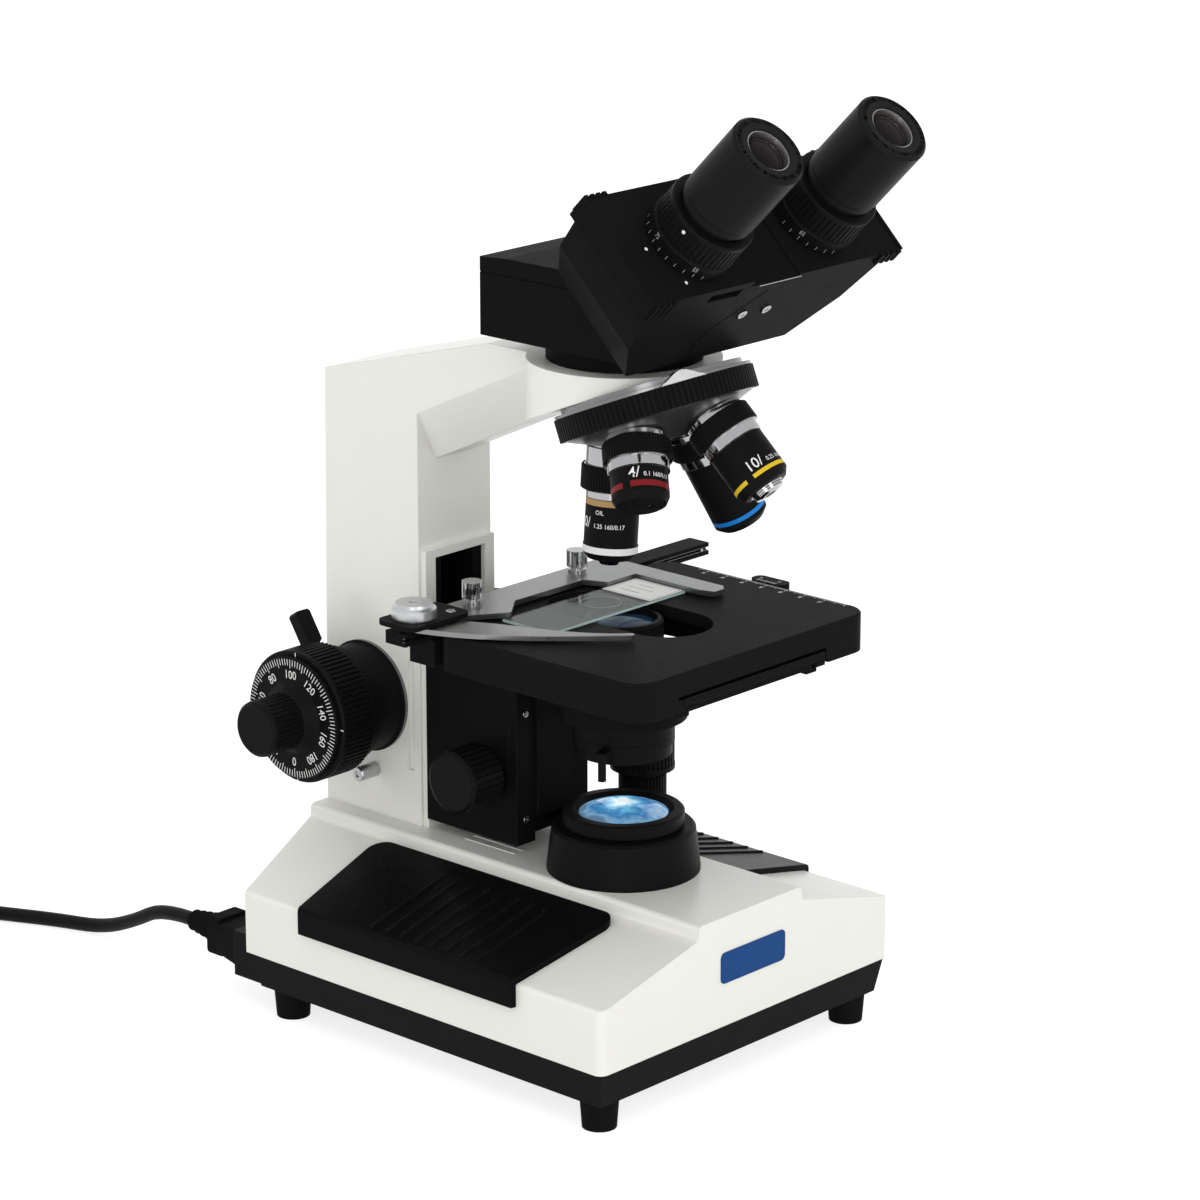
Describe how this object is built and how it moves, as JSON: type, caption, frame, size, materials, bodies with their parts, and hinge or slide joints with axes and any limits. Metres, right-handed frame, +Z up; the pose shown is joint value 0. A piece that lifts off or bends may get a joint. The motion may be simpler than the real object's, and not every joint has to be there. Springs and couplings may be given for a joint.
{
  "type": "compound microscope",
  "caption": "Binocular compound microscope with revolving nosepiece, mechanical stage, condenser, coaxial focus knobs, base illuminator and mains lead.",
  "frame": {"origin": "on the table, midway between the feet's side planes and below the middle of the base", "axes": "+X to the user's right, -Y towards the user, +Z up"},
  "size_m": [0.2994, 0.4626, 0.384],
  "materials": {
    "white_enamel": "satin white enamel",
    "black_enamel": "satin black enamel",
    "black_rubber": "matt",
    "black_plastic": "matt black",
    "lens_glass": "polished",
    "bright_chrome": "polished",
    "satin_aluminium": "satin",
    "ground_steel": "ground"
  },
  "bodies": {
    "stand": {"base_casting": "white_enamel", "bottom_tray": "black_enamel", "rubber_feet": "black_rubber", "hand_rests": "black_rubber", "lamp_collar": "black_plastic", "lamp_lens_ring": "black_plastic", "lamp_lens": "lens_glass", "led_module": "satin_aluminium", "mains_inlet": "black_plastic", "arm_casting": "white_enamel", "focus_guide": "black_enamel", "focus_bushes": "black_plastic", "nosepiece_seat": "bright_chrome", "power_connector": "black_plastic", "power_cord": "black_plastic", "cord_coil": "black_plastic", "power_plug": "black_plastic"},
    "lift": {"focus_carriage": "black_enamel", "carriage_gibs": "black_enamel", "stage_base_plate": "black_enamel", "y_vernier": "black_enamel"},
    "coarse": {"coarse_shaft": "ground_steel", "coarse_knob_left": "black_plastic", "coarse_knob_right": "black_plastic"},
    "fine": {"fine_shaft": "ground_steel", "fine_knob_left": "black_plastic", "fine_knob_right": "black_plastic"},
    "tension": {"tension_lever": "black_plastic"},
    "stage_y": {"stage_top_plate": "black_enamel", "x_guide": "black_enamel"},
    "stage_x": {"x_bar": "satin_aluminium", "holder_bracket": "black_enamel", "slide_holder": "satin_aluminium", "holder_thumbscrews": "bright_chrome", "specimen_slide": "lens_glass"},
    "finger": {"slide_finger": "satin_aluminium"},
    "y_knob": {"stage_y_knob": "black_plastic"},
    "x_knob": {"stage_x_knob": "black_plastic"},
    "condenser": {"condenser_carrier": "black_enamel", "condenser_body": "black_enamel", "condenser_lens": "lens_glass"},
    "condenser_drive": {"condenser_knob": "black_plastic"},
    "iris": {"iris_lever": "bright_chrome"},
    "filter": {"filter_holder": "black_enamel"},
    "turret": {"nosepiece_turret": "satin_aluminium", "nosepiece_grip": "black_plastic", "objective_4x": "bright_chrome", "objective_10x": "bright_chrome", "objective_40x": "bright_chrome", "objective_100x": "bright_chrome"},
    "head": {"head_housing": "black_enamel"},
    "head_screw": {"head_clamp_screw": "black_plastic"},
    "tube_left": {"head_plate_left": "black_enamel"},
    "tube_right": {"head_plate_right": "black_enamel"},
    "ocular_left": {"diopter_ring_left": "black_plastic", "eyepiece_left": "black_plastic"},
    "ocular_right": {"diopter_ring_right": "black_plastic", "eyepiece_right": "black_plastic"},
    "rocker": {"power_switch": "black_plastic"},
    "dimmer": {"brightness_dial": "black_plastic"}
  },
  "joints": [
    {"name": "stage_lift", "type": "slide", "parent": "stand", "child": "lift", "axis": [0, 0, 1], "range_m": [-0.0035, 0.0175]},
    {"name": "coarse_turn", "type": "hinge", "parent": "stand", "child": "coarse", "pos_m": [0, 0.087, 0.1205], "axis": [1, 0, 0], "range_deg": [-169, 36]},
    {"name": "fine_turn", "type": "hinge", "parent": "stand", "child": "fine", "pos_m": [0, 0.087, 0.1205], "axis": [1, 0, 0], "continuous": true},
    {"name": "tension_turn", "type": "hinge", "parent": "stand", "child": "tension", "pos_m": [-0.038, 0.087, 0.1205], "axis": [1, 0, 0], "range_deg": [-22, 22]},
    {"name": "stage_y_slide", "type": "slide", "parent": "lift", "child": "stage_y", "axis": [0, 1, 0], "range_m": [-0.014, 0.022]},
    {"name": "stage_x_slide", "type": "slide", "parent": "stage_y", "child": "stage_x", "axis": [1, 0, 0], "range_m": [-0.03, 0.03]},
    {"name": "finger_swing", "type": "hinge", "parent": "stage_x", "child": "finger", "pos_m": [-0.071, 0.0095, 0.177], "axis": [0, 0, 1], "range_deg": [-48, 0], "stiffness_Nm_per_rad": 0.02, "springref_deg": 17.19},
    {"name": "y_knob_turn", "type": "hinge", "parent": "stage_y", "child": "y_knob", "pos_m": [0.05, 0.001, 0.105], "axis": [0, 0, 1], "range_deg": [-165, 280]},
    {"name": "x_knob_turn", "type": "hinge", "parent": "stage_y", "child": "x_knob", "pos_m": [0.05, 0.001, 0.08], "axis": [0, 0, 1], "range_deg": [-350, 350]},
    {"name": "condenser_slide", "type": "slide", "parent": "lift", "child": "condenser", "axis": [0, 0, 1], "range_m": [-0.01, 0]},
    {"name": "condenser_turn", "type": "hinge", "parent": "lift", "child": "condenser_drive", "pos_m": [-0.035, 0.0165, 0.105], "axis": [1, 0, 0], "range_deg": [-150, 5]},
    {"name": "iris_turn", "type": "hinge", "parent": "condenser", "child": "iris", "pos_m": [0, -0.034, 0.1255], "axis": [0, 0, 1], "range_deg": [-35, 35]},
    {"name": "filter_swing", "type": "hinge", "parent": "condenser", "child": "filter", "pos_m": [0.0249, -0.02494, 0.122], "axis": [0, 0, 1], "range_deg": [0, 80]},
    {"name": "nosepiece_turn", "type": "hinge", "parent": "stand", "child": "turret", "pos_m": [0, -0.0504, 0.2609], "axis": [0, 0.382, 0.9241], "continuous": true},
    {"name": "head_swivel", "type": "hinge", "parent": "stand", "child": "head", "pos_m": [0, -0.034, 0.277], "axis": [0, 0, 1], "continuous": true},
    {"name": "head_screw_turn", "type": "hinge", "parent": "stand", "child": "head_screw", "pos_m": [0.04, -0.034, 0.2747], "axis": [1, 0, 0], "continuous": true},
    {"name": "tube_left_slide", "type": "slide", "parent": "head", "child": "tube_left", "axis": [1, 0, 0], "range_m": [-0.0015, 0.0085]},
    {"name": "tube_right_slide", "type": "slide", "parent": "head", "child": "tube_right", "axis": [1, 0, 0], "range_m": [-0.0085, 0.0015]},
    {"name": "ocular_left_turn", "type": "hinge", "parent": "tube_left", "child": "ocular_left", "pos_m": [-0.036, -0.0934, 0.332], "axis": [0, -0.7071, 0.7071], "range_deg": [-90, 90]},
    {"name": "ocular_right_turn", "type": "hinge", "parent": "tube_right", "child": "ocular_right", "pos_m": [0.036, -0.0934, 0.332], "axis": [0, -0.7071, 0.7071], "range_deg": [-90, 90]},
    {"name": "rocker_turn", "type": "hinge", "parent": "stand", "child": "rocker", "pos_m": [0, 0.1047, 0.039], "axis": [0, 0, 1], "range_deg": [-10, 0]},
    {"name": "dimmer_turn", "type": "hinge", "parent": "stand", "child": "dimmer", "pos_m": [0.09, -0.075, 0.037], "axis": [1, 0, 0], "range_deg": [-270, 0]}
  ],
  "couplings": [
    {"joint": "coarse_turn", "follows": "stage_lift", "rad_per_m": -166.67},
    {"joint": "y_knob_turn", "follows": "stage_y_slide", "rad_per_m": 200},
    {"joint": "x_knob_turn", "follows": "stage_x_slide", "rad_per_m": 200},
    {"joint": "condenser_turn", "follows": "condenser_slide", "rad_per_m": 250},
    {"joint": "tube_right_slide", "follows": "tube_left_slide", "ratio": -1}
  ]
}
